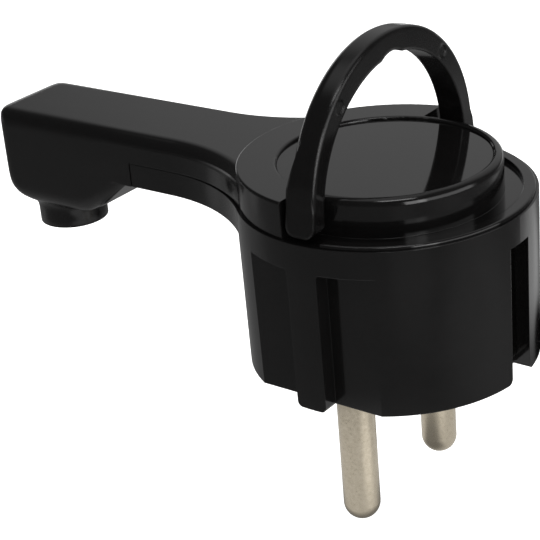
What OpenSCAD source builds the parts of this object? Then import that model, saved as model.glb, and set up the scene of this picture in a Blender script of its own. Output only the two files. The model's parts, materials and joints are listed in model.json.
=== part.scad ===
// Angled, earthed two-pin mains plug with a folding pull ring.
// Origin: centre of the contact face, midway between the pins. +Z points out of the
// back of the plug, the pins stand on the Y axis and the cable arm runs along -X.

/* [Contact pins] */
// Diameter of a contact pin
pin_d = 4.8; // [4:0.1:5.2]
// Distance between the pin axes
pin_pitch = 19; // [18:0.5:20]
// Length of a pin below the contact face
pin_len = 19; // [15:0.5:22]

/* [Lower housing] */
// Diameter of the head at the top of the part that goes into a socket outlet
head_d = 37.4; // [36.6:0.2:40]
// Diameter of the head at its lower edge
nose_d = 37.2; // [36:0.1:37.4]
// Height of the parting plane above the contact face
parting_z = 23.3; // [22.5:0.1:26]
// Height of the part that goes into a socket outlet
nose_h = 19.8; // [18.5:0.1:20.2]
// Diameter of the raised contact face that carries the pins
face_d = 26; // [25:0.5:27]
// Height of the head's lower edge above the contact face
face_step = 1.75; // [0.8:0.05:2]
// Distance across the two side flats
flat_span = 32.8; // [32.4:0.1:34]
// Width of the guide rib that stands on each flat
rib_w = 4.2; // [3.4:0.1:5]
// How far a guide rib hangs below the head's lower edge
rib_drop = 0.35; // [0.1:0.05:0.6]
// Corner radius of a guide rib's lower end
rib_corner_r = 0.7; // [0.4:0.1:1.2]
// Corner radius of the flat beside the guide rib's top
flat_corner_r = 0.5; // [0.3:0.1:1]
// Thickness of the floor that carries the pins
floor_t = 2.6; // [2.2:0.1:3.2]
// Radius of the wiring space
cavity_r = 13.6; // [13:0.1:14]

/* [Earth strip] */
// Width of the slot for an earth contact
slot_w = 4.2; // [4:0.1:5]
// Rounding of a slot's lower corners
slot_mouth_r = 0.8; // [0.4:0.1:1.2]
// Width of the earth strip
strip_w = 3.9; // [3.4:0.1:3.9]
// Thickness of the earth strip
strip_t = 0.8; // [0.6:0.1:1]
// Depth of the contact's outer face below the head's surface
strip_inset = 2; // [1.6:0.1:2.2]
// Distance from the top of the slot down to the end of the contact
strip_end_gap = 0.8; // [0.4:0.1:2]
// Inner radius of the strip's bends
strip_bend_r = 0.6; // [0.4:0.1:1]

/* [Cable arm] */
// Distance from the plug's axis to the end of the arm
arm_len = 60.7; // [56:0.1:70]
// Width of the arm
arm_w = 14.2; // [13:0.1:15]
// Height of the arm's top above the parting plane
arm_h = 4.1; // [3.8:0.1:4.6]
// Radius of the arm's upper side edges
arm_edge_r = 1.75; // [0.6:0.05:1.8]
// Radius of the upper edge at the arm's end
arm_end_r = 0.4; // [0.2:0.1:1]
// Radius of the upright edges at the arm's end
arm_corner_r = 1.5; // [1.4:0.1:2.4]
// Radius of the hollow flare between the arm and the head
flare_r = 24; // [18:0.5:26]
// Depth of the arm below the parting plane
trough_h = 3.4; // [3:0.1:3.8]
// How far the trough's sides lie behind the arm's
trough_inset = 0.1; // [0.05:0.05:0.3]
// Height of the shadow gap along the arm's seam
seam_gap = 0.12; // [0.1:0.02:0.2]
// Length of the closed block at the end of the arm
block_len = 24.4; // [21:0.1:26]
// Depth of the block's upright sides below the parting plane
block_h = 6.9; // [6:0.1:8]
// Rounding of the block's lower end edge
block_end_r = 4.6; // [3:0.1:5]
// Slope of the ramp between the block's underside and the trough, in degrees
ramp_slope = 39; // [34:1:44]
// Radius between the block's underside and its ramp
ramp_r = 11; // [6:0.5:14]
// Rounding of the ramp's side edges
ramp_edge_r = 1.9; // [1:0.1:2.4]
// Length of the level stretch between the block's ramp and the trough
level_len = 1.5; // [1.5:0.1:3]
// Wall of the arm
arm_wall = 1.6; // [1.2:0.1:1.8]
// Width of the wire channel
channel_w = 7.2; // [6:0.1:8]

/* [Cable outlet] */
// Outer diameter of the outlet
outlet_d = 9.8; // [9.2:0.1:10.6]
// Bore of the outlet
outlet_bore_d = 7.6; // [6:0.1:8]
// Distance from the arm's end to the outlet's axis
outlet_inset = 5.7; // [5.4:0.1:7]
// Height of the outlet's mouth above the contact face
outlet_z = 9.6; // [8:0.1:10.4]
// Length of the outlet below the block
outlet_len = 3.5; // [2:0.1:4]

/* [Upper housing] */
// How far the upper housing's side lies behind the shoulder below it
cap_inset = 0.35; // [0.1:0.05:0.6]
// Rounding of the upper housing's outer edges
cap_edge_r = 0.3; // [0.2:0.05:0.4]
// Height of the collar above the parting plane
collar_h = 4.7; // [4.5:0.1:5.4]
// Gap between the tower and the top of the ring's opening when the ring is folded
tower_gap = 0.35; // [0.3:0.05:0.6]
// Rounding of the tower's upper edge
tower_edge_r = 0.9; // [0.4:0.1:1]
// Wall of the tower
tower_wall = 2.05; // [1.8:0.05:2.4]
// Height of the ledge's rim above the parting plane
rim_h = 0.45; // [0.4:0.05:0.7]
// Width of the ledge's rim
rim_w = 1.5; // [1.3:0.05:1.7]
// Depth of the ledge's floor below its rim
ledge_depth = 0.6; // [0.5:0.05:0.9]
// How far the spigot that locates the two housings lies inside the upper housing's side
spigot_inset = 1.1; // [0.9:0.05:1.3]
// Height of the spigot below the parting plane
spigot_h = 1.9; // [1.8:0.1:2.4]

/* [Cover plate] */
// Width of the tower's rim round the inset cover plate
plate_rim = 1.3; // [1.3:0.05:2]
// Rounding of that rim's inner edge
plate_edge_r = 0.35; // [0.2:0.05:0.35]
// Thickness of the cover plate
plate_t = 0.6; // [0.4:0.1:0.8]
// Depth of the plate's face below the tower's rim
plate_inset = 0.4; // [0.4:0.1:0.6]

/* [Pull ring] */
// Outer radius of the ring
ring_r = 17.9; // [16:0.1:20]
// How far the ring's outside lies behind the upper housing's side
ring_inset = 0.45; // [0.2:0.05:0.6]
// Thickness of the ring at its feet
ring_t = 2.15; // [2:0.05:2.4]
// How far the inner circle's centre lies towards the feet
ring_bore_drop = 0.85; // [0.5:0.05:0.9]
// Width of the ring along the plug
ring_w = 3.9; // [3.6:0.1:4]
// Rounding of the ring's outer edge on the arm side
ring_edge_r = 1.7; // [0.8:0.1:1.8]
// Rounding of the ring's outer edge on the other side
ring_rim_r = 0.5; // [0.2:0.1:0.6]
// Rounding of the ring's inner edge on the arm side
ring_bore_edge_r = 0.8; // [0.3:0.1:1]
// Rounding of the feet below the pivots
foot_r = 1.2; // [1.2:0.1:1.6]
// Gap between the ring and the ends of the collar
ring_gap = 0.75; // [0.7:0.05:1]
// Diameter of a pivot
pivot_d = 2; // [1.6:0.1:2.2]
// Depth of the detent notch at the top of the ring
notch_depth = 0.5; // [0.3:0.1:0.7]
// Diameter of the ejector marks on the ring
mark_d = 1.7; // [1.4:0.1:2]

/* [Hardware] */
// Diameter of the terminal screws' thread
screw_d = 3; // [2.5:0.1:3]
// Height of the terminals' tops above the floor
terminal_h = 6.4; // [5.5:0.1:7]
// Width of a clamp washer
washer_w = 6; // [5.4:0.1:6.2]
// Thickness of a clamp washer
washer_t = 0.8; // [0.6:0.1:1]
// Distance of the housing screws from the pin line
bolt_x = 7; // [6.8:0.1:7.2]
// Distance of the housing screws from the arm's middle line
bolt_y = 5.4; // [5.2:0.1:5.6]
// Width across a square nut
nut_w = 5.5; // [5.3:0.1:5.6]
// Thickness of a square nut
nut_t = 2.4; // [2:0.1:2.6]
// Height of the joint between the screw bosses and the pillars
pillar_z = 14.7; // [14:0.1:16]
// Distance from the head's shoulder to the middle of the cable clamp
clamp_gap = 2.4; // [2.4:0.1:3.2]
// Distance between the clamp's screws
clamp_pitch = 9.6; // [9.4:0.1:9.8]
// Diameter of the clamp's screws
clamp_screw_d = 2; // [1.8:0.1:2]

/* [Hidden] */
$fn = 96;

// Clearances
fit = 0.05;
running = 0.04;
joint_gap = 0.1;
ring_clear = 0.3;
// Reach of a cut past the face that it opens
over = 1;
// How far a rounding runs into its neighbour where it would otherwise only touch it
bite = 0.03;
// Wall between a pivot's end and the cover plate
pivot_wall = 0.4;
// How far a screw pillar runs into the tower's wall
pillar_bite = 0.6;
// Depth and length of the neck that seats a pin in the floor
neck_depth = 0.2;
neck_len = 0.3;
// Width of the shadow gap along the arm's seam
seam_depth = 0.5;
// Height of the end block's chamber above its underside
chamber_lift = 2.2;
// Wall under a housing nut and room for the screw's tip above it
nut_lift = 1.5;
tip_room = 2;
// Angles above the hinge at which the ring's feet start to splay and its legs start to round
foot_angle = 12;
leg_angle = 38;
// How far the level stretch's form runs into the ramp's rounded sides
level_bite = 0.5;
// Ejector marks: depth, and place of the pair on the legs and the pair on the feet
mark_depth = 0.15;
mark_inset = 1.5;
mark_angle = 47;
mark_drop = 0.85;

plastic = "#1d1d1d";
plastic_gloss = "#262525";
nickel = "#b9b1a4";
brass = "#c8a860";
steel = "#a8abad";

head_r = head_d / 2;
nose_r = nose_d / 2;
face_r = face_d / 2;
rib_z = face_step - rib_drop;
ring_bore_r = ring_r - ring_t;
ring_bore_top = ring_bore_r - ring_bore_drop;
mark_r = ring_r - mark_inset;
cap_r = ring_r + ring_inset;
shoulder_r = cap_r + cap_inset;
tower_r = ring_bore_top - tower_gap;
plate_r = tower_r - plate_rim;
rim_bore_r = cap_r - rim_w;
spigot_r = cap_r - spigot_inset;
arm_half = arm_w / 2;
trough_half = arm_half - trough_inset;
trough_z = parting_z - trough_h;
block_z = parting_z - block_h;
block_x = block_len - arm_len;
arm_top = parting_z + arm_h;
collar_top = parting_z + collar_h;
rim_z = parting_z + rim_h;
ledge_z = rim_z - ledge_depth;
spigot_z = parting_z - spigot_h;
bore_depth = spigot_h + joint_gap;
channel_z = trough_z + arm_wall;
ceiling_z = arm_top - arm_wall;
outlet_x = outlet_inset - arm_len;
skirt_z = outlet_z + outlet_len;
ramp_end = block_x - level_len;
ramp_x = ramp_end - (trough_z - skirt_z) / tan(ramp_slope) - ramp_r * tan(ramp_slope / 2);
level_x = ramp_end - ramp_edge_r / sin(ramp_slope) - level_bite;
chamber_half = outlet_bore_d / 2 + 0.3;
chamber_z = skirt_z + chamber_lift;
plate_z = collar_top - plate_inset - plate_t;
tower_ceiling = plate_z - 1.2;
tower_cavity_r = tower_r - tower_wall;
pivot_end = plate_r + fit + pivot_wall;
hinge_z = rim_z + ring_clear + ring_w / 2;
collar_end = -ring_w / 2 - ring_gap;
strip_x = head_r - strip_inset;
strip_bend = strip_bend_r + strip_t;
slot_floor = strip_x - strip_t - fit;
terminal_z = floor_t + terminal_h;
screw_head_d = 1.85 * screw_d;
screw_head_h = 0.6 * screw_d;
bolt_seat = floor_t + 0.4;
pillar_half = 1.3 * screw_d;
nut_z = pillar_z + nut_lift;
clamp_seat = parting_z - 1;
clamp_x = shoulder_r + clamp_gap;
clamp_t = 1.7;
clamp_w = 4.6;
clamp_head_d = 1.7 * clamp_screw_d;
clamp_len = clamp_pitch + clamp_head_d;

// Distance from the axis to the point where the flare leaves the arm's side
function flare_x(head, half, fillet) = sqrt(pow(head - bite + fillet, 2) - pow(half + fillet, 2));

// Outline of the arm with its two flares, from the axis out to a given reach
module arm_outline(head, half, fillet, reach) {
    start = flare_x(head, half, fillet);
    middle = [-start, half + fillet];
    touch = middle * (head - bite) / (head - bite + fillet);
    translate([-reach, -half]) square([reach, 2 * half]);
    for (side = [0, 1]) mirror([0, side, 0]) difference() {
        polygon([[-start, 0], [-start, half], middle, touch, [0, 0]]);
        translate(middle) circle(fillet);
    }
}

// Footprint of the arm's end with its upright corners rounded
module end_footprint(from, to, half, corner) {
    translate([from + corner, -half]) square([to - from - corner, 2 * half]);
    translate([from, corner - half]) square([2 * corner, 2 * (half - corner)]);
    for (side = [-1, 1]) translate([from + corner, side * (half - corner)]) circle(corner);
}

// Section that a rounding of radius r takes off a square outer corner at the origin
module corner_section(r) {
    difference() {
        translate([-r, -r]) square(r + over);
        translate([-r, -r]) circle(r);
        translate([-2 * r, -3 * r]) square([r, 4 * r]);
        translate([-3 * r, -2 * r]) square([4 * r, r]);
    }
}

// Lies on XZ with its length along +Y
module along_y(length) {
    translate([0, length, 0]) rotate([90, 0, 0]) linear_extrude(length) children();
}

// Stands a section on the YZ plane with its length along +X
module along_x(length) {
    rotate([90, 0, 90]) linear_extrude(length) children();
}

module at_front_and_back() {
    for (side = [0, 1]) mirror([0, side, 0]) children();
}

module at_bolts() {
    for (turn = [0, 180]) rotate(turn) translate([bolt_x, bolt_y, 0]) children();
}

// Slotted screw with its head seated at z = 0 and its shank below
module slotted_screw(shank_d, length, head_d, head_h) {
    slot = 0.25 * shank_d;
    difference() {
        rotate_extrude() {
            translate([0, -length]) square([shank_d / 2, length + head_h / 2]);
            square([head_d / 2, head_h]);
        }
        translate([-head_d, -slot / 2, head_h / 2]) cube([2 * head_d, slot, head_h]);
    }
}

// Face of the flat beside the guide rib, drawn in XZ
module flat_recess() {
    difference() {
        union() {
            translate([-head_r, -over]) square([2 * head_r, nose_h + over - flat_corner_r]);
            for (side = [0, 1]) mirror([side, 0, 0]) {
                translate([rib_w / 2 + flat_corner_r, nose_h - 2 * flat_corner_r])
                    square([head_r - rib_w / 2 - flat_corner_r, 2 * flat_corner_r]);
                translate([rib_w / 2 + flat_corner_r, nose_h - flat_corner_r]) circle(flat_corner_r);
            }
        }
        rib_profile();
    }
}

// Guide rib with its rounded lower end, drawn in XZ
module rib_profile() {
    translate([-rib_w / 2, rib_z + rib_corner_r]) square([rib_w, nose_h]);
    translate([rib_corner_r - rib_w / 2, rib_z]) square([rib_w - 2 * rib_corner_r, nose_h]);
    for (side = [-1, 1])
        translate([side * (rib_w / 2 - rib_corner_r), rib_z + rib_corner_r]) circle(rib_corner_r);
}

// End of a guide rib that hangs below the head's lower edge
module rib_end() {
    intersection() {
        cylinder(r = nose_r, h = face_step);
        translate([0, flat_span / 2 - over, 0]) along_y(head_r) rib_profile();
    }
}

module lower_housing() {
    seam_start = flare_x(shoulder_r, trough_half, flare_r) * shoulder_r / (shoulder_r + flare_r);
    color(plastic) difference() {
        union() {
            rotate_extrude() polygon([[0, 0], [face_r, 0], [face_r, face_step], [nose_r, face_step],
                                      [head_r, nose_h], [0, nose_h]]);
            translate([0, 0, nose_h]) cylinder(r = shoulder_r, h = parting_z - nose_h);
            at_front_and_back() rib_end();
            translate([0, 0, trough_z]) linear_extrude(trough_h)
                arm_outline(shoulder_r, trough_half, flare_r, -block_x - joint_gap);
        }
        // Side flats with their guide ribs, and the slots of the earth contacts
        at_front_and_back() translate([0, flat_span / 2, 0]) along_y(head_r) flat_recess();
        for (turn = [0, 180]) rotate(turn) {
            translate([slot_floor, -slot_w / 2, -over])
                cube([head_r - slot_floor + over, slot_w, nose_h + over]);
            at_front_and_back() translate([slot_floor, 0, 0]) along_x(head_r - slot_floor + over)
                translate([slot_w / 2, face_step]) mirror([1, 0]) mirror([0, 1]) corner_section(slot_mouth_r);
            translate([0, -slot_w / 2, floor_t]) cube([slot_floor + over, slot_w, strip_t + 2 * fit]);
            translate([strip_x - strip_bend - fit, -slot_w / 2, floor_t])
                cube([strip_bend, slot_w, strip_bend + 2 * fit]);
        }
        // Wiring space, spigot bore and wire channel
        difference() {
            translate([0, 0, floor_t]) cylinder(r = cavity_r, h = parting_z);
            at_bolts() cylinder(r = screw_d, h = pillar_z - joint_gap);
        }
        translate([0, 0, parting_z - bore_depth]) cylinder(r = spigot_r + joint_gap, h = bore_depth + over);
        translate([-arm_len, -channel_w / 2, channel_z]) cube([arm_len, channel_w, trough_h]);
        // Shadow gap along the arm's seam
        translate([0, 0, parting_z - seam_gap]) linear_extrude(seam_gap + over) difference() {
            translate([-arm_len, -arm_w]) square([arm_len - seam_start, 2 * arm_w]);
            arm_outline(shoulder_r - seam_depth, trough_half - seam_depth, flare_r + seam_depth,
                        arm_len + over);
        }
        // Holes for the pins and the housing screws
        at_front_and_back() translate([0, pin_pitch / 2, -over])
            cylinder(d = pin_d - 2 * neck_depth + 2 * fit, h = floor_t + 2 * over);
        at_bolts() {
            translate([0, 0, -over]) cylinder(d = screw_d + 4 * fit, h = pillar_z + over);
            translate([0, 0, -over]) cylinder(d = screw_head_d + 4 * fit, h = bolt_seat + over);
        }
        // Seat and screw holes of the cable clamp
        translate([-clamp_x - clamp_w / 2 - joint_gap, -clamp_len / 2 - joint_gap, clamp_seat])
            cube([clamp_w + 2 * joint_gap, clamp_len + 2 * joint_gap, parting_z]);
        at_front_and_back() translate([-clamp_x, clamp_pitch / 2, channel_z - 1])
            cylinder(d = clamp_screw_d + 2 * fit, h = trough_h);
    }
}

// Section of a block across the arm, its lower edges rounded
module block_section(bottom, top, r) {
    half = arm_half + bite;
    translate([r - half, bottom]) square([2 * (half - r), top - bottom]);
    translate([-half, bottom + r]) square([2 * half, top - bottom - r]);
    for (side = [-1, 1]) translate([side * (half - r), bottom + r]) circle(r);
}

// Side view of the block: rounded end, level underside, and ramp up to the trough
module block_side() {
    end = -arm_len - bite;
    touch_x = ramp_x + ramp_r * sin(ramp_slope);
    touch_z = skirt_z + ramp_r * (1 - cos(ramp_slope));
    translate([end + block_end_r, skirt_z]) square([ramp_x - end - block_end_r, parting_z - skirt_z]);
    translate([end, skirt_z + block_end_r]) square([2 * block_end_r, parting_z - skirt_z - block_end_r]);
    translate([end + block_end_r, skirt_z + block_end_r]) circle(block_end_r);
    intersection() {
        translate([ramp_x, skirt_z + ramp_r]) circle(ramp_r);
        translate([ramp_x - over, skirt_z - over])
            square([touch_x - ramp_x + over, parting_z - skirt_z + over]);
    }
    polygon([[touch_x, touch_z], [ramp_end, trough_z], [ramp_end, parting_z], [touch_x, parting_z]]);
}

// Outer form of the block that turns the cable down into the outlet
module end_block() {
    intersection() {
        translate([0, 0, skirt_z - over]) linear_extrude(parting_z - skirt_z + over)
            end_footprint(-arm_len, block_x, arm_half, arm_corner_r);
        translate([0, -arm_w, 0]) along_y(2 * arm_w) block_side();
        translate([-arm_len - over, 0, 0]) along_x(arm_len)
            block_section(skirt_z - bite, parting_z + over, block_z - skirt_z);
        translate([ramp_end, 0, trough_z]) rotate([0, -ramp_slope, 0]) translate([-arm_len, 0, 0])
            along_x(2 * arm_len) block_section(-bite, arm_len, ramp_edge_r);
    }
    translate([level_x, -arm_half, trough_z]) cube([block_x - level_x, arm_w, trough_h]);
    translate([outlet_x, 0, outlet_z]) cylinder(d = outlet_d, h = block_z - outlet_z);
}

// Takes the rounding off the arm's upper edges, along the flares, the sides and the end
module arm_edge_cut() {
    start = flare_x(cap_r, arm_half, flare_r);
    at_front_and_back() {
        translate([-arm_len - over, arm_half, arm_top]) along_x(arm_len + over - start)
            corner_section(arm_edge_r);
        translate([-start, arm_half + flare_r, arm_top]) rotate_extrude(start = -90, angle = 50)
            translate([flare_r, 0]) mirror([1, 0]) corner_section(arm_edge_r);
    }
    translate([-arm_len, -arm_half - over, arm_top]) along_y(arm_w + 2 * over)
        mirror([1, 0]) corner_section(arm_end_r);
}

module upper_housing() {
    start = flare_x(cap_r, arm_half, flare_r);
    color(plastic) difference() {
        union() {
            // Arm with its flares and end block
            difference() {
                union() {
                    translate([0, 0, parting_z]) linear_extrude(arm_h) {
                        translate([-start, 0]) arm_root();
                        end_footprint(-arm_len, -start, arm_half, arm_corner_r);
                    }
                    end_block();
                }
                arm_edge_cut();
            }
            // Head: spigot, ledge rim, collar and tower
            translate([0, 0, spigot_z]) cylinder(r = spigot_r, h = spigot_h);
            translate([0, 0, parting_z]) rounded_disc(cap_r, rim_h, cap_edge_r);
            intersection() {
                translate([0, 0, parting_z]) rounded_disc(cap_r, collar_h, cap_edge_r);
                translate([-2 * cap_r + collar_end, -cap_r, 0]) cube([2 * cap_r, 2 * cap_r, 2 * collar_top]);
            }
            translate([0, 0, spigot_z]) rounded_disc(tower_r, collar_top - spigot_z, tower_edge_r);
            at_bolts() intersection() {
                pillar();
                translate([-bolt_x, -bolt_y, 0]) cylinder(r = tower_cavity_r + pillar_bite, h = plate_z);
            }
        }
        // Ledge floor round the free side of the tower, and the pockets of the ring's feet
        difference() {
            translate([collar_end, -cap_r, ledge_z]) cube([2 * cap_r, 2 * cap_r, collar_h]);
            cylinder(r = tower_r, h = 2 * collar_top);
            difference() {
                cylinder(r = cap_r + over, h = rim_z);
                cylinder(r = rim_bore_r, h = collar_top);
                translate([collar_end, -cap_r - over, ledge_z])
                    cube([-2 * collar_end, 2 * cap_r + 2 * over, collar_h]);
            }
        }
        // Recess of the cover plate
        translate([0, 0, plate_z]) cylinder(r = plate_r + fit, h = collar_h);
        translate([0, 0, collar_top]) rotate_extrude()
            translate([plate_r + fit, 0]) mirror([1, 0]) corner_section(plate_edge_r);
        // Inside of the tower
        difference() {
            translate([0, 0, spigot_z - over])
                cylinder(r = tower_cavity_r, h = tower_ceiling - spigot_z + over);
            at_bolts() pillar();
        }
        // Wire channel, chamber of the end block and bore of the outlet
        translate([0, -channel_w / 2, 0]) along_y(channel_w)
            polygon([[outlet_x, ceiling_z], [0, ceiling_z], [0, channel_z], [level_x, channel_z],
                     [outlet_x + chamber_half, chamber_z], [outlet_x, chamber_z]]);
        translate([outlet_x - chamber_half, -chamber_half, chamber_z])
            cube([2 * chamber_half, 2 * chamber_half, ceiling_z - chamber_z]);
        translate([outlet_x, 0, outlet_z - over])
            cylinder(d = outlet_bore_d, h = chamber_z - outlet_z + 2 * over);
        // Room over the cable clamp
        translate([-clamp_x - clamp_w / 2 - joint_gap, -clamp_len / 2 - joint_gap, parting_z - over])
            cube([clamp_w + 2 * joint_gap, clamp_len + 2 * joint_gap, ceiling_z - parting_z + over]);
        // Bores of the ring's pivots, nut pockets and screw holes
        at_front_and_back() translate([0, pivot_end - joint_gap, hinge_z]) rotate([-90, 0, 0])
            cylinder(d = pivot_d + 2 * running, h = cap_r);
        at_bolts() {
            translate([-pillar_half - over, -nut_w / 2 - fit, nut_z])
                cube([nut_w / 2 + fit + pillar_half + over, nut_w + 2 * fit, nut_t + fit]);
            translate([0, 0, pillar_z - over])
                cylinder(d = screw_d + 4 * fit, h = nut_z + nut_t + tip_room + over - pillar_z);
        }
    }
}

// Square pillar over a screw boss, at the screw's axis
module pillar() {
    translate([-pillar_half, -pillar_half, pillar_z])
        cube([2 * pillar_half, 2 * pillar_half, plate_z - pillar_z]);
}

// Part of the arm between its straight sides and the head
module arm_root() {
    start = flare_x(cap_r, arm_half, flare_r);
    translate([start, 0]) arm_outline(cap_r, arm_half, flare_r, start);
}

// Disc with a rounded upper edge
module rounded_disc(r, height, edge) {
    rotate_extrude() difference() {
        square([r, height]);
        translate([r, height]) corner_section(edge);
    }
}

module cover_plate() {
    color(plastic_gloss) translate([0, 0, plate_z]) cylinder(r = plate_r, h = plate_t);
}

// Section drawn as radius and width, as half a turn round the X axis over two straight legs
module arch(leg) {
    rotate([0, 90, 0]) rotate_extrude(start = 90, angle = 180) children();
    at_front_and_back() translate([0, 0, -leg]) linear_extrude(leg) mirror([1, -1]) children();
}

module pull_ring() {
    half_w = ring_w / 2;
    notch_r = 4;
    notch_len = 1.5;
    color(plastic) translate([0, 0, hinge_z]) {
        difference() {
            union() {
                arch(half_w) ring_section(half_w);
                at_front_and_back() ring_foot(half_w);
            }
            translate([0, 0, -ring_bore_drop]) arch(half_w + over) bore_section(half_w);
            // Rounded ends of the feet
            for (side = [0, 1]) mirror([side, 0, 0]) translate([half_w, -ring_r - over, -half_w])
                along_y(2 * (ring_r + over)) mirror([0, 1]) corner_section(foot_r);
            // Detent notch on the face that lies on the ledge when the ring is folded
            translate([half_w - notch_len, 0, ring_bore_top + notch_depth - notch_r]) rotate([0, 90, 0])
                cylinder(r = notch_r, h = ring_w);
            at_front_and_back() {
                translate([half_w, mark_r * cos(mark_angle), mark_r * sin(mark_angle)]) ejector_mark();
                translate([half_w, ring_r - ring_t / 2, -mark_drop]) ejector_mark();
            }
        }
        at_front_and_back() translate([0, pivot_end, 0]) rotate([-90, 0, 0])
            cylinder(d = pivot_d, h = ring_bore_r + ring_t / 2 - pivot_end);
    }
}

// Foot that splays until it is flush with the upper housing's side, and the squarer leg above it
module ring_foot(half_w) {
    lift = ring_r * sin(foot_angle);
    leg_lift = ring_r * sin(leg_angle);
    start = (ring_r - bite) * cos(foot_angle);
    intersection() {
        union() {
            translate([-half_w, 0, 0]) along_x(ring_w)
                polygon([[ring_bore_r, -half_w], [cap_r, -half_w], [start, lift], [ring_bore_r, lift]]);
            translate([-half_w, 0, 0]) rotate([0, 90, 0]) cylinder(r = ring_r - bite, h = ring_w);
        }
        along_y(2 * cap_r) polygon([[-half_w, -half_w], [half_w, -half_w], [half_w, lift / 3],
                                    [half_w - ring_rim_r, lift], [ring_edge_r - half_w, leg_lift], [-half_w, lift]]);
    }
}

// Shallow round mark in a face that looks along +X
module ejector_mark() {
    translate([-mark_depth, 0, 0]) rotate([0, 90, 0]) cylinder(d = mark_d, h = over);
}

// Half section of the ring's outer form, well rounded on the side towards the arm
module ring_section(half_w) {
    difference() {
        translate([0, -half_w]) square([ring_r, 2 * half_w]);
        translate([ring_r, -half_w]) mirror([0, 1]) corner_section(ring_edge_r);
        translate([ring_r, half_w]) corner_section(ring_rim_r);
    }
}

// Section of the ring's opening, widening in a rounding on the side towards the arm
module bore_section(half_w) {
    translate([0, -half_w - over]) square([ring_bore_r, 2 * (half_w + over)]);
    translate([ring_bore_r, -half_w]) mirror([1, 0]) mirror([0, 1]) corner_section(ring_bore_edge_r);
}

// Turned pin with a domed tip, a flange on the floor and a tapped post
module contact_pin(side) {
    pin_r = pin_d / 2;
    flange_h = 1.2;
    color(nickel) translate([0, side * pin_pitch / 2, 0]) difference() {
        rotate_extrude() {
            translate([0, pin_r - pin_len]) square([pin_r, pin_len - pin_r - neck_len]);
            translate([0, -pin_r]) square([pin_r - neck_depth, pin_r + floor_t]);
            translate([0, pin_r - pin_len]) intersection() {
                circle(pin_r);
                translate([0, -pin_r]) square([pin_r, pin_r]);
            }
            translate([0, floor_t]) square([pin_r + 1.2, flange_h]);
            translate([0, floor_t]) square([washer_w / 2 - 0.2, terminal_h]);
        }
        translate([0, 0, floor_t + flange_h]) cylinder(d = screw_d + 2 * fit, h = terminal_h);
    }
}

module pin_front() {
    contact_pin(-1);
}

module pin_back() {
    contact_pin(1);
}

// Square washer that holds a wire under its screw
module clamp_washer(y) {
    color(brass) translate([0, y, terminal_z]) difference() {
        translate([-washer_w / 2, -washer_w / 2, 0]) cube([washer_w, washer_w, washer_t]);
        translate([0, 0, -over]) cylinder(d = screw_d + 4 * fit, h = washer_t + 2 * over);
    }
}

module terminal_screw(y) {
    color(steel) translate([0, y, terminal_z + washer_t])
        slotted_screw(screw_d, terminal_h - 1.4, screw_head_d, screw_head_h);
}

module terminal_washer_front() {
    clamp_washer(-pin_pitch / 2);
}

module terminal_washer_back() {
    clamp_washer(pin_pitch / 2);
}

module terminal_screw_front() {
    terminal_screw(-pin_pitch / 2);
}

module terminal_screw_back() {
    terminal_screw(pin_pitch / 2);
}

// Half of the strip's bent profile, drawn in XZ
module strip_profile() {
    end_z = nose_h - strip_end_gap;
    translate([0, floor_t]) square([strip_x - strip_bend, strip_t]);
    translate([strip_x - strip_t, floor_t + strip_bend]) square([strip_t, end_z - floor_t - strip_bend]);
    translate([strip_x - strip_bend, floor_t + strip_bend]) difference() {
        intersection() {
            circle(strip_bend);
            translate([0, -strip_bend]) square(strip_bend);
        }
        circle(strip_bend_r);
    }
}

module earth_strip() {
    color(nickel) difference() {
        translate([0, -strip_w / 2, 0]) along_y(strip_w)
            for (side = [0, 1]) mirror([side, 0, 0]) strip_profile();
        cylinder(d = screw_d + 2 * fit, h = parting_z);
    }
}

// Square earth terminal, riveted into the strip
module earth_post() {
    color(brass) difference() {
        union() {
            translate([-washer_w / 2, -washer_w / 2, floor_t + strip_t])
                cube([washer_w, washer_w, terminal_h - strip_t]);
            translate([0, 0, floor_t]) cylinder(d = screw_d, h = strip_t + 1);
        }
        translate([0, 0, floor_t + 1.2]) cylinder(d = screw_d + 2 * fit - 0.4, h = terminal_h);
        translate([0, 0, floor_t + strip_t + 0.4]) cylinder(d = screw_d + 2 * fit, h = terminal_h);
    }
}

module earth_washer() {
    clamp_washer(0);
}

module earth_screw() {
    terminal_screw(0);
}

// Bar that holds the cable in the lower housing
module cable_clamp() {
    color(plastic) translate([-clamp_x, 0, clamp_seat]) difference() {
        translate([-clamp_w / 2, -clamp_len / 2, 0]) cube([clamp_w, clamp_len, clamp_t]);
        at_front_and_back() translate([0, clamp_pitch / 2, -over])
            cylinder(d = clamp_screw_d + 4 * fit, h = clamp_t + 2 * over);
    }
}

module clamp_screw(side) {
    length = clamp_t + clamp_seat - channel_z + 0.8;
    color(steel) translate([-clamp_x, side * clamp_pitch / 2, clamp_seat + clamp_t])
        slotted_screw(clamp_screw_d, length, clamp_head_d, 0.55 * clamp_screw_d);
}

module clamp_screw_front() {
    clamp_screw(-1);
}

module clamp_screw_back() {
    clamp_screw(1);
}

module housing_nut(turn) {
    color(steel) rotate(turn) translate([bolt_x, bolt_y, nut_z]) difference() {
        translate([-nut_w / 2, -nut_w / 2, 0]) cube([nut_w, nut_w, nut_t]);
        translate([0, 0, -over]) cylinder(d = screw_d + 2 * fit, h = nut_t + 2 * over);
    }
}

module housing_nut_front() {
    housing_nut(180);
}

module housing_nut_back() {
    housing_nut(0);
}

// Screw that is put in from the contact face
module housing_screw(turn) {
    length = nut_z + nut_t + nut_lift - bolt_seat;
    color(steel) rotate(turn) translate([bolt_x, bolt_y, bolt_seat]) mirror([0, 0, 1])
        slotted_screw(screw_d, length, screw_head_d, screw_head_h);
}

module housing_screw_front() {
    housing_screw(180);
}

module housing_screw_back() {
    housing_screw(0);
}

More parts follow.
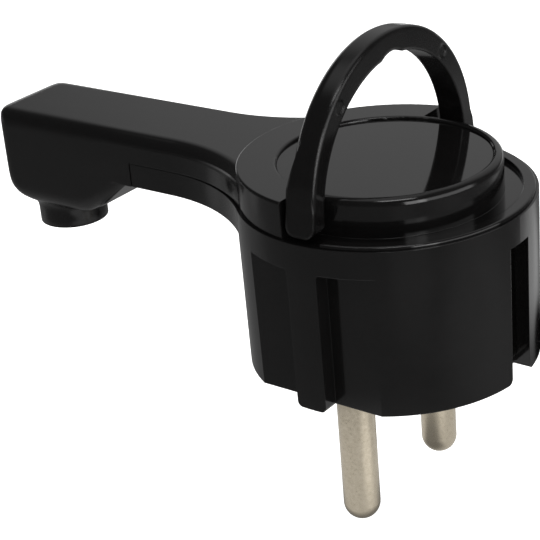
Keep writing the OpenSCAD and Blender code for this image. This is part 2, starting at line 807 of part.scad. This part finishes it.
lower_housing();
upper_housing();
cover_plate();
pull_ring();
pin_front();
pin_back();
terminal_washer_front();
terminal_washer_back();
terminal_screw_front();
terminal_screw_back();
earth_strip();
earth_post();
earth_washer();
earth_screw();
cable_clamp();
clamp_screw_front();
clamp_screw_back();
housing_nut_front();
housing_nut_back();
housing_screw_front();
housing_screw_back();
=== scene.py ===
import bmesh
import bpy
import json
import math
from mathutils import Matrix, Vector


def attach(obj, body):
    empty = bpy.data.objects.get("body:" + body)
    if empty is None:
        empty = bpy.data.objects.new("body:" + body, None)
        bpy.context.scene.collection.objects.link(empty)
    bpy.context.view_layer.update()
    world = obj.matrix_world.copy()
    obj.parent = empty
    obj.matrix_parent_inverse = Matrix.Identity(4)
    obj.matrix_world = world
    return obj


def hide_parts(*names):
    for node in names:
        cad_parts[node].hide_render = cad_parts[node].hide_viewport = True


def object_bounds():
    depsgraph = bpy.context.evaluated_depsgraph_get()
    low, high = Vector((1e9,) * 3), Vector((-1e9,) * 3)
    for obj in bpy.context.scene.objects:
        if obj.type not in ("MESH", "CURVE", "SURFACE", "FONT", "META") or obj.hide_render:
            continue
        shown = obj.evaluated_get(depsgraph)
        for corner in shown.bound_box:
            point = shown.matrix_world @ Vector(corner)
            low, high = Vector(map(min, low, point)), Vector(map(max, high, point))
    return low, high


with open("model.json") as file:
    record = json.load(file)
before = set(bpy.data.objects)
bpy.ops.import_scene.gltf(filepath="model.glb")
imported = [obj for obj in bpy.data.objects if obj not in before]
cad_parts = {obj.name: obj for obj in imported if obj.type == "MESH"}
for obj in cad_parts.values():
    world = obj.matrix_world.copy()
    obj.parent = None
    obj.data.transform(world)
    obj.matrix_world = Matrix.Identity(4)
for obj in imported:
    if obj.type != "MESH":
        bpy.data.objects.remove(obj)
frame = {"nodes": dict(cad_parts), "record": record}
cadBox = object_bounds()
nodes = frame["nodes"]
scene = bpy.context.scene
mm = 0.001
print("frame loaded:", len(nodes), "nodes")


def linearFromHex(text):
    values = [int(text[i:i + 2], 16) / 255 for i in (1, 3, 5)]
    return [v / 12.92 if v <= 0.04045 else ((v + 0.055) / 1.055) ** 2.4 for v in values] + [1.0]


# adds a node; links and inputs go by socket name or number
def addNode(tree, kind, links=None, inputs=None, **settings):
    node = tree.nodes.new(kind)
    for name, value in settings.items():
        setattr(node, name, value)
    for name, value in (inputs or {}).items():
        node.inputs[name].default_value = value
    for name, source in (links or {}).items():
        tree.links.new(source, node.inputs[name])
    return node


colourA, colourB, colourOut = 6, 7, 2   # sockets of the Mix node when it mixes colours


def emptyMaterial(name):
    material = bpy.data.materials.new(name)
    material.use_nodes = True
    material.node_tree.nodes.clear()
    return material, material.node_tree


# camera: found by fitting the photograph to the pins' known size
cameraSetup = {
    "azimuth": 38.951,   # degrees, 0 looks along +Y
    "elevation": 24.803,
    "roll": -5.192,
    "aim": (0.0, 0.0, 20.0),   # mm
    "distance": 207.079,   # mm
    "slide": (-14.617, -6.957),   # mm along the picture's right and up
    "lens": 110.955,   # mm
    "sensor": 36.0,   # mm
    "clip": (0.005, 10.0),   # m, nearest and farthest that shows
}


def heading(azimuth, elevation):
    a, e = math.radians(azimuth), math.radians(elevation)
    return Vector((math.sin(a) * math.cos(e), -math.cos(a) * math.cos(e), math.sin(e)))


def placeCamera(setup):
    roll = math.radians(setup["roll"])
    back = heading(setup["azimuth"], setup["elevation"])
    flatRight = heading(setup["azimuth"] + 90, 0)
    flatUp = flatRight.cross(-back)
    right = flatRight * math.cos(roll) + flatUp * math.sin(roll)
    up = flatUp * math.cos(roll) - flatRight * math.sin(roll)
    place = Vector(setup["aim"]) + back * setup["distance"]
    place += right * setup["slide"][0] + up * setup["slide"][1]
    data = bpy.data.cameras.new("photoCamera")
    data.lens = setup["lens"]
    data.sensor_width = setup["sensor"]
    data.clip_start, data.clip_end = setup["clip"]
    camera = bpy.data.objects.new("photoCamera", data)
    turn = Matrix((right, up, back)).transposed().to_4x4()
    camera.matrix_world = Matrix.Translation(place * mm) @ turn
    scene.collection.objects.link(camera)
    scene.camera = camera


placeCamera(cameraSetup)
scene.view_settings.view_transform = "Standard"
print("camera placed")


# studio: white paper behind and below, a dark room in front, softboxes right and above
# a patch of light has a direction in degrees, with its outer and inner edge as spread
studio = {
    "surround": "#ffffff",
    "ambient": 0.45,   # even light from all round
    "room": {   # what a shiny face sees above the table
        "dark": 0.06,
        "paper": {"level": 0.45, "azimuth": 195, "elevation": 34, "spread": (44, 13)},
        "ceiling": {"level": 0.6, "azimuth": 255, "elevation": 78, "spread": (30, 18)},
        "horizon": {"level": 1.0, "azimuth": 235, "elevation": 2, "spread": (15, 7)},
    },
    "table": {   # what a shiny face sees below
        "drop": 5.0,   # mm below the pins' tips
        "size": 4.0,   # m
        "colour": "#f4f4f2",
        "glow": 0.86,
        "plain": 0.165,
        "spots": [   # painted pools of light and painted shade on the table, seen in reflections; places in mm, with the outer and inner edge of each
            {"level": 0.21, "at": (-100, 4), "edge": (60, 40)},
            {"level": 0.3, "at": (-140, -24), "edge": (22, 8)},
            {"level": 0.3, "at": (92, 8), "edge": (62, 16)},
            {"level": 0.24, "at": (84, -74), "edge": (40, 15)},
            {"level": 0.36, "at": (80, 148), "edge": (26, 8)},
            {"level": 0.8, "at": (36, 92), "edge": (44, 16)},
            # painted shade on the table, mirrored in the outlet's side
            {"level": 0.0, "at": (8, 57), "edge": (20, 10)},
            {"level": 0.64, "at": (4, -12), "edge": (52, 40)},   # pool round the pins
            # painted glint for the front pin to mirror
            {"level": 1.0, "at": (30, -12), "edge": (21, 8)},
            {"level": 0.22, "at": (-3, -3), "edge": (17, 8)},   # shade between the pins
        ],
        "outer": 0.1,   # what the ring sees
        "outerFrom": (190.0, 250.0),   # mm from the plug's axis
        "far": {"level": 0.85, "azimuth": 228, "elevation": 0, "spread": (75, 35)},
        "farFrom": (190.0, 420.0),   # mm from the plug's axis
    },
    # from which azimuth and elevation, how far away and how large in mm, and if shiny faces see it
    "lamps": {
        "topSoftbox": {"from": (200, 70), "away": 330, "size": (260, 260), "watts": 0.5, "seen": False},
        "rightSoftbox": {"from": (92, 14), "away": 300, "size": (330, 200), "watts": 0.32, "seen": True},
        "sideStrip": {"from": (60, 8), "away": 300, "size": (100, 210), "watts": 0.22, "seen": True},
        "frontStrip": {"from": (48, 66), "away": 300, "size": (120, 60), "watts": 0.11, "seen": True},
    },
}


# tells apart what the camera sees and what shiny faces mirror
def seenDirectly(tree):
    path = addNode(tree, "ShaderNodeLightPath").outputs
    mirrored = addNode(tree, "ShaderNodeMath", {0: path["Is Glossy Ray"], 1: path["Is Transmission Ray"]},
                       operation="MAXIMUM")
    return path["Is Camera Ray"], mirrored.outputs[0]


# lays a soft-edged patch of light over a level, centred on one direction
def addPatch(tree, level, direction, patch):
    towards = addNode(tree, "ShaderNodeVectorMath", {0: direction},
                      {1: heading(patch["azimuth"], patch["elevation"])}, operation="DOT_PRODUCT")
    edge = [math.cos(math.radians(angle)) for angle in patch["spread"]]
    share = addNode(tree, "ShaderNodeMapRange", {"Value": towards.outputs["Value"]},
                    {"From Min": edge[0], "From Max": edge[1]}, interpolation_type="SMOOTHSTEP")
    mix = addNode(tree, "ShaderNodeMix", {"Factor": share.outputs["Result"], "A": level},
                  {"B": patch["level"]})
    return mix.outputs["Result"]


def buildWorld(setup):
    world = bpy.data.worlds.new("studio")
    scene.world = world
    world.use_nodes = True
    tree = world.node_tree
    tree.nodes.clear()
    white = linearFromHex(setup["surround"])
    room = setup["room"]
    direction = addNode(tree, "ShaderNodeTexCoord").outputs["Generated"]
    level = addNode(tree, "ShaderNodeValue").outputs[0]
    level.default_value = room["dark"]
    for patch in (room["paper"], room["ceiling"], room["horizon"]):
        level = addPatch(tree, level, direction, patch)
    around = addNode(tree, "ShaderNodeBackground", {"Strength": level}, {"Color": white})
    shown = addNode(tree, "ShaderNodeBackground", inputs={"Color": white, "Strength": 1.0})
    soft = addNode(tree, "ShaderNodeBackground", inputs={"Color": white, "Strength": setup["ambient"]})
    direct, mirrored = seenDirectly(tree)
    inside = addNode(tree, "ShaderNodeMixShader", {0: mirrored, 1: soft.outputs[0], 2: around.outputs[0]})
    mix = addNode(tree, "ShaderNodeMixShader", {0: direct, 1: inside.outputs[0], 2: shown.outputs[0]})
    addNode(tree, "ShaderNodeOutputWorld", {"Surface": mix.outputs[0]})


# brightness of the table as a shiny face sees it
def tableShine(tree, table, height):
    place = addNode(tree, "ShaderNodeTexCoord").outputs["Object"]
    level = addNode(tree, "ShaderNodeValue").outputs[0]
    level.default_value = table["plain"]

    def within(centre, edge):
        middle = (centre[0] * mm, centre[1] * mm, height)
        away = addNode(tree, "ShaderNodeVectorMath", {0: place}, {1: middle}, operation="DISTANCE")
        return addNode(tree, "ShaderNodeMapRange", {"Value": away.outputs["Value"]},
                       {"From Min": edge[0] * mm, "From Max": edge[1] * mm},
                       interpolation_type="SMOOTHSTEP").outputs["Result"]

    for spot in table["spots"]:
        level = addNode(tree, "ShaderNodeMix", {"Factor": within(spot["at"], spot["edge"]), "A": level},
                        {"B": spot["level"]}).outputs["Result"]
    plugAxis = (0, 0)
    outer = addNode(tree, "ShaderNodeMix", {"Factor": within(plugAxis, table["outerFrom"]), "A": level},
                    {"B": table["outer"]}).outputs["Result"]
    flat = addNode(tree, "ShaderNodeVectorMath", {0: place}, {1: (1, 1, 0)}, operation="MULTIPLY")
    outward = addNode(tree, "ShaderNodeVectorMath", {0: flat.outputs["Vector"]}, operation="NORMALIZE")
    back = addPatch(tree, outer, outward.outputs["Vector"], table["far"])
    whole = addNode(tree, "ShaderNodeMix",
                    {"Factor": within(plugAxis, table["farFrom"]), "A": outer, "B": back})
    return whole.outputs["Result"]


def buildTable(setup):
    table = setup["table"]
    tableZ = cadBox[0].z - table["drop"] * mm
    half = table["size"] / 2
    mesh = bpy.data.meshes.new("studioTable")
    corners = [(-half, -half, tableZ), (half, -half, tableZ), (half, half, tableZ), (-half, half, tableZ)]
    mesh.from_pydata(corners, [], [(0, 1, 2, 3)])
    top = bpy.data.objects.new("studioTable", mesh)
    scene.collection.objects.link(top)
    paper, tree = emptyMaterial("backgroundPaper")
    white = linearFromHex(setup["surround"])
    matt = addNode(tree, "ShaderNodeBsdfDiffuse", inputs={"Color": linearFromHex(table["colour"])})
    glow = addNode(tree, "ShaderNodeEmission", inputs={"Color": white, "Strength": table["glow"]})
    bright = addNode(tree, "ShaderNodeAddShader", {0: matt.outputs[0], 1: glow.outputs[0]})
    shine = tableShine(tree, table, tableZ)
    pale = addNode(tree, "ShaderNodeEmission", {"Strength": shine}, {"Color": white})
    direct, mirrored = seenDirectly(tree)
    inside = addNode(tree, "ShaderNodeMixShader", {0: mirrored, 1: matt.outputs[0], 2: pale.outputs[0]})
    mix = addNode(tree, "ShaderNodeMixShader", {0: direct, 1: inside.outputs[0], 2: bright.outputs[0]})
    # open from below, so that the underside can be looked at
    under = addNode(tree, "ShaderNodeNewGeometry").outputs["Backfacing"]
    clear = addNode(tree, "ShaderNodeBsdfTransparent")
    sheet = addNode(tree, "ShaderNodeMixShader", {0: under, 1: mix.outputs[0], 2: clear.outputs[0]})
    addNode(tree, "ShaderNodeOutputMaterial", {"Surface": sheet.outputs[0]})
    mesh.materials.append(paper)


def buildLamps(setup):
    aim = Vector(cameraSetup["aim"])
    for name, lamp in setup["lamps"].items():
        data = bpy.data.lights.new(name, "AREA")
        data.shape = "RECTANGLE"
        data.size, data.size_y = (side * mm for side in lamp["size"])
        data.energy = lamp["watts"]
        out = heading(*lamp["from"])
        light = bpy.data.objects.new(name, data)
        light.visible_glossy = lamp["seen"]
        light.visible_camera = False
        turn = (-out).to_track_quat("-Z", "Y").to_matrix().to_4x4()
        light.matrix_world = Matrix.Translation((aim + out * lamp["away"]) * mm) @ turn
        scene.collection.objects.link(light)


buildWorld(studio)
buildTable(studio)
buildLamps(studio)
print("studio lit:", len(studio["lamps"]), "lamps")


# moulded ABS: black, glossy from the tool's fine-ground face, edges a little rounded and rubbed
satinAbs = {
    "colour": "#0a0a0a",
    "smudge": "#131212",
    "rubbed": "#1b1a1a",
    "roughness": (0.09, 0.15),
    "rubbedRoughness": 0.22,
    "rubbedFrom": (0.97, 0.8),   # cosine of an edge's turn, from none to fully rubbed
    "ior": 1.5,
    "specular": 0.5,
    "grain": 0.35,   # mm, coarser than the real 0.05 so that it shows
    "grainDetail": 3.0,
    "grainDepth": 0.0007,   # mm
    "cloud": (14.0, 5.0, 5.0),   # mm, slow change of gloss, longer along the arm
    "cloudDetail": 5.0,
    "cloudRange": (0.35, 0.65),   # the part of the clouds that changes the gloss
    "noiseRoughness": 0.6,
    "edge": (0.1, 0.1),   # mm, moulded edge radius on the head and at the arm's end
    "edgeFrom": (-38.0, -46.0),   # mm along the arm
    "edgeSamples": 6,
}
# the upper moulding has softer edges, softest round the arm's end
softAbs = dict(satinAbs, edge=(0.17, 1.4))
# the ring is rubbed by fingers: rounder edges, a little duller
rubbedAbs = dict(satinAbs, edge=(0.5, 0.5), roughness=(0.1, 0.15))
# polished ABS: the same plastic from a polished tool face, so it mirrors the ring
glossAbs = dict(satinAbs, roughness=(0.03, 0.06), grainDepth=0.0002)


def mouldedAbs(name, look):
    material, tree = emptyMaterial(name)
    place = addNode(tree, "ShaderNodeTexCoord").outputs["Object"]
    grain = addNode(tree, "ShaderNodeTexNoise", {"Vector": place},
                    {"Scale": 1 / (look["grain"] * mm), "Detail": look["grainDetail"],
                     "Roughness": look["noiseRoughness"]}).outputs["Fac"]
    stretch = addNode(tree, "ShaderNodeMapping", {"Vector": place},
                      {"Scale": [1 / (size * mm) for size in look["cloud"]]})
    cloud = addNode(tree, "ShaderNodeTexNoise", {"Vector": stretch.outputs[0]},
                    {"Scale": 1.0, "Detail": look["cloudDetail"],
                     "Roughness": look["noiseRoughness"]}).outputs["Fac"]
    along = addNode(tree, "ShaderNodeSeparateXYZ", {0: place}).outputs["X"]
    radius = addNode(tree, "ShaderNodeMapRange", {"Value": along},
                     {"From Min": look["edgeFrom"][0] * mm, "From Max": look["edgeFrom"][1] * mm,
                      "To Min": look["edge"][0] * mm, "To Max": look["edge"][1] * mm})
    rounded = addNode(tree, "ShaderNodeBevel", {"Radius": radius.outputs["Result"]},
                      samples=look["edgeSamples"]).outputs["Normal"]
    # edges: where the rounded normal leaves the flat one
    flat = addNode(tree, "ShaderNodeNewGeometry").outputs["True Normal"]
    lean = addNode(tree, "ShaderNodeVectorMath", {0: rounded, 1: flat}, operation="DOT_PRODUCT")
    edge = addNode(tree, "ShaderNodeMapRange", {"Value": lean.outputs["Value"]},
                   {"From Min": look["rubbedFrom"][0], "From Max": look["rubbedFrom"][1]})
    rubbed = addNode(tree, "ShaderNodeMath", {0: edge.outputs["Result"], 1: cloud}, operation="MULTIPLY")
    tint = addNode(tree, "ShaderNodeMix", {0: cloud},
                   {colourA: linearFromHex(look["colour"]), colourB: linearFromHex(look["smudge"])},
                   data_type="RGBA")
    worn = addNode(tree, "ShaderNodeMix", {0: rubbed.outputs[0], colourA: tint.outputs[colourOut]},
                   {colourB: linearFromHex(look["rubbed"])}, data_type="RGBA")
    gloss = addNode(tree, "ShaderNodeMapRange", {"Value": cloud},
                    {"From Min": look["cloudRange"][0], "From Max": look["cloudRange"][1],
                     "To Min": look["roughness"][0], "To Max": look["roughness"][1]})
    dulled = addNode(tree, "ShaderNodeMix", {"Factor": rubbed.outputs[0], "A": gloss.outputs["Result"]},
                     {"B": look["rubbedRoughness"]})
    bump = addNode(tree, "ShaderNodeBump", {"Height": grain, "Normal": rounded},
                   {"Strength": 1.0, "Distance": look["grainDepth"] * mm})
    shader = addNode(tree, "ShaderNodeBsdfPrincipled",
                     {"Base Color": worn.outputs[colourOut], "Roughness": dulled.outputs["Result"],
                      "Normal": bump.outputs["Normal"]},
                     {"IOR": look["ior"], "Specular IOR Level": look["specular"]})
    addNode(tree, "ShaderNodeOutputMaterial", {"Surface": shader.outputs[0]})
    return material


# nickel-plated turned brass: warm satin grey, mottled plating, brass showing in tiny spots
platedBrass = {
    "colour": "#d8cdb9",
    "shade": "#c9bea9",
    "brass": "#c4a063",
    "roughness": (0.2, 0.3),
    "mottle": 0.45,   # mm
    "mottleNoise": {"Detail": 4.0, "Roughness": 0.65},
    "mottleRange": (0.3, 0.7),
    "pitDepth": 0.0012,   # mm
    "ring": 0.3,   # mm between turning marks
    "ringDetail": 3.0,
    "ringAcross": 0.05,   # how little a mark changes on its way round
    "ringDepth": 0.0006,   # mm
    "spot": 0.6,   # mm
    "spotNoise": {"Detail": 4.0, "Roughness": 0.7},
    "spotRange": (0.72, 0.77),   # from plating to bare brass
}
# the same nickel plating on the strip inside the slot, its colour painted nearly black as painted shade
# for the dark slot
slotShadedBrass = dict(platedBrass, colour="#4a4640", shade="#3a3732", brass="#5a4c34", ringDepth=0.0)
# plain turned brass: yellow and bright, a little stained
plainBrass = dict(platedBrass, colour="#c3a254", shade="#ad8c42", brass="#a9853c")
# zinc-plated steel: pale blue-grey with a fine crystal mottle
zincSteel = dict(platedBrass, colour="#a9acae", shade="#94989b", brass="#8f9396")


def turnedMetal(name, look):
    material, tree = emptyMaterial(name)
    place = addNode(tree, "ShaderNodeTexCoord").outputs["Object"]
    squeeze = addNode(tree, "ShaderNodeMapping", {"Vector": place},
                      {"Scale": (look["ringAcross"], look["ringAcross"], 1.0)})
    rings = addNode(tree, "ShaderNodeTexNoise", {"Vector": squeeze.outputs[0]},
                    {"Scale": 1 / (look["ring"] * mm), "Detail": look["ringDetail"]}).outputs["Fac"]
    mottle = addNode(tree, "ShaderNodeTexNoise", {"Vector": place},
                     {"Scale": 1 / (look["mottle"] * mm), **look["mottleNoise"]}).outputs["Fac"]
    spots = addNode(tree, "ShaderNodeTexNoise", {"Vector": place},
                    {"Scale": 1 / (look["spot"] * mm), **look["spotNoise"]}).outputs["Fac"]
    unevenRange = {"From Min": look["mottleRange"][0], "From Max": look["mottleRange"][1]}
    uneven = addNode(tree, "ShaderNodeMapRange", {"Value": mottle}, unevenRange)
    bare = addNode(tree, "ShaderNodeMapRange", {"Value": spots},
                   {"From Min": look["spotRange"][0], "From Max": look["spotRange"][1]})
    tint = addNode(tree, "ShaderNodeMix", {0: uneven.outputs["Result"]},
                   {colourA: linearFromHex(look["colour"]), colourB: linearFromHex(look["shade"])},
                   data_type="RGBA")
    spotted = addNode(tree, "ShaderNodeMix", {0: bare.outputs["Result"], colourA: tint.outputs[colourOut]},
                      {colourB: linearFromHex(look["brass"])}, data_type="RGBA")
    gloss = addNode(tree, "ShaderNodeMapRange", {"Value": mottle},
                    {**unevenRange, "To Min": look["roughness"][0], "To Max": look["roughness"][1]})
    turned = addNode(tree, "ShaderNodeBump", {"Height": rings},
                     {"Strength": 1.0, "Distance": look["ringDepth"] * mm})
    pitted = addNode(tree, "ShaderNodeBump", {"Height": mottle, "Normal": turned.outputs["Normal"]},
                     {"Strength": 1.0, "Distance": look["pitDepth"] * mm})
    shader = addNode(tree, "ShaderNodeBsdfPrincipled",
                     {"Base Color": spotted.outputs[colourOut], "Roughness": gloss.outputs["Result"],
                      "Normal": pitted.outputs["Normal"]}, {"Metallic": 1.0})
    addNode(tree, "ShaderNodeOutputMaterial", {"Surface": shader.outputs[0]})
    return material


# upper moulding: the solid, with the arm's end and the outlet's neck rounded off as moulded
upperMoulding = {
    "along": (-43.0, -47.0),   # mm, from unchanged to fully softened
    "neck": (11.2, 12.8),   # mm, the outlet below keeps its form
    "rise": (22.0, 13.0),   # mm, softest at the bottom
    "topShare": 0.3,   # how soft the top is beside the bottom
    "outlet": (-55.0, 0.0),   # mm, the bore's middle
    "bore": (4.3, 15.5),   # mm, reach and height in which the bore stays true
    "weld": 0.001,   # mm, loose corners nearer than this are one point
    "step": 0.45,   # mm between the cuts that make room for the curve
    "slack": 0.0001,   # mm, a cut this near a point goes through it
    "passes": 60,
    "pull": 0.5,   # how far a point goes towards its neighbours in one pass
    "sharp": 70.0,   # degrees, edges above this stay crisp
    "blend": (0.0, 0.1),   # softness over which the new normals take the place of the solid's
}


# how far a value is on its way between two ends, from 0 to 1
def partWay(value, ends):
    return min(max((value - ends[0]) / (ends[1] - ends[0]), 0.0), 1.0)


# cuts the arm's end into fine strips, so that it can bend
def cutArmEnd(form, look):
    start, step, slack = look["along"][0] * mm, look["step"] * mm, look["slack"] * mm
    reach = [corner.co for corner in form.verts if corner.co.x < start]
    for axis in range(3):
        normal = Vector([float(axis == i) for i in range(3)])
        low = min(place[axis] for place in reach) - step / 2
        high = start if axis == 0 else max(place[axis] for place in reach)
        for count in range(1, int((high - low) / step) + 1):
            faces = [face for face in form.faces if face.calc_center_bounds().x < start]
            edges = {edge for face in faces for edge in face.edges}
            corners = {corner for face in faces for corner in face.verts}
            bmesh.ops.bisect_plane(form, geom=[*corners, *edges, *faces], dist=slack,
                                   plane_co=normal * (low + count * step), plane_no=normal)


# 0 where a point stays, up to 1 where it gives way most
def softness(place, look):
    x, y, z = place / mm
    away = math.hypot(x - look["outlet"][0], y - look["outlet"][1])
    if away < look["bore"][0] and z < look["bore"][1]:
        return 0.0
    rise = look["topShare"] + (1 - look["topShare"]) * partWay(z, look["rise"])
    return partWay(x, look["along"]) * partWay(z, look["neck"]) * rise


def softenUpperMoulding(name, node, look):
    solid = nodes[node].data
    form = bmesh.new()
    form.from_mesh(solid)
    # the solid's normals go along, for all that stays as it is
    solidNormal = form.loops.layers.float_vector.new("solidNormal")
    corners = [corner for face in form.faces for corner in face.loops]
    for corner, normal in zip(corners, solid.corner_normals):
        corner[solidNormal] = normal.vector
    bmesh.ops.remove_doubles(form, verts=form.verts, dist=look["weld"] * mm)
    cutArmEnd(form, look)
    softLayer = form.verts.layers.float.new("softness")
    for corner in form.verts:
        corner[softLayer] = softness(corner.co, look)
    soft = [corner for corner in form.verts if corner[softLayer] > 0]
    for number in range(look["passes"]):
        moved = []
        for corner in soft:
            around = [edge.other_vert(corner).co for edge in corner.link_edges]
            mean = sum(around, Vector()) / len(around)
            moved.append(corner.co.lerp(mean, look["pull"] * corner[softLayer]))
        for corner, place in zip(soft, moved):
            corner.co = place
    bmesh.ops.triangulate(form, faces=form.faces)
    mesh = bpy.data.meshes.new(name)
    form.to_mesh(mesh)
    form.free()
    if "custom_normal" in mesh.attributes:   # carried over, but no longer true on merged points
        mesh.attributes.remove(mesh.attributes["custom_normal"])
    mesh.shade_smooth()
    mesh.set_sharp_from_angle(angle=math.radians(look["sharp"]))
    before = [item.vector.copy() for item in mesh.attributes["solidNormal"].data]
    shares = [partWay(item.value, look["blend"]) for item in mesh.attributes["softness"].data]
    normals = []
    for corner, old, new in zip(mesh.loops, before, mesh.corner_normals):
        normals.append(old.lerp(new.vector, shares[corner.vertex_index]).normalized())
    for layer in ("solidNormal", "softness"):
        mesh.attributes.remove(mesh.attributes[layer])
    mesh.normals_split_custom_set(normals)
    piece = bpy.data.objects.new(name, mesh)
    scene.collection.objects.link(piece)
    print("upper moulding softened:", len(mesh.polygons), "triangles")
    return piece


finishes = {
    "housing": mouldedAbs("satinMouldedAbs", satinAbs),
    "plate": mouldedAbs("polishedMouldedAbs", glossAbs),
    "nickel": turnedMetal("nickelPlatedBrass", platedBrass),
    "brass": turnedMetal("turnedBrass", plainBrass),
    "steel": turnedMetal("zincPlatedSteel", zincSteel),
}
ownFinish = {
    "upper_housing": mouldedAbs("softEdgedMouldedAbs", softAbs),
    "pull_ring": mouldedAbs("rubbedMouldedAbs", rubbedAbs),
    "earth_strip": turnedMetal("slotShadedNickelStrip", slotShadedBrass),   # painted shade for the dark slot, darker than the pins
}

for row in frame["record"]["subparts"]:
    mesh = nodes[row["node"]].data
    mesh.materials.clear()
    mesh.materials.append(ownFinish.get(row["node"], finishes[row["material_slot"]]))
print("materials assigned:", len(finishes) + len(ownFinish))

moulding = softenUpperMoulding("upperMoulding", "upper_housing", upperMoulding)
moulding.data.materials.append(ownFinish["upper_housing"])
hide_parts("upper_housing")
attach(moulding, "housing")
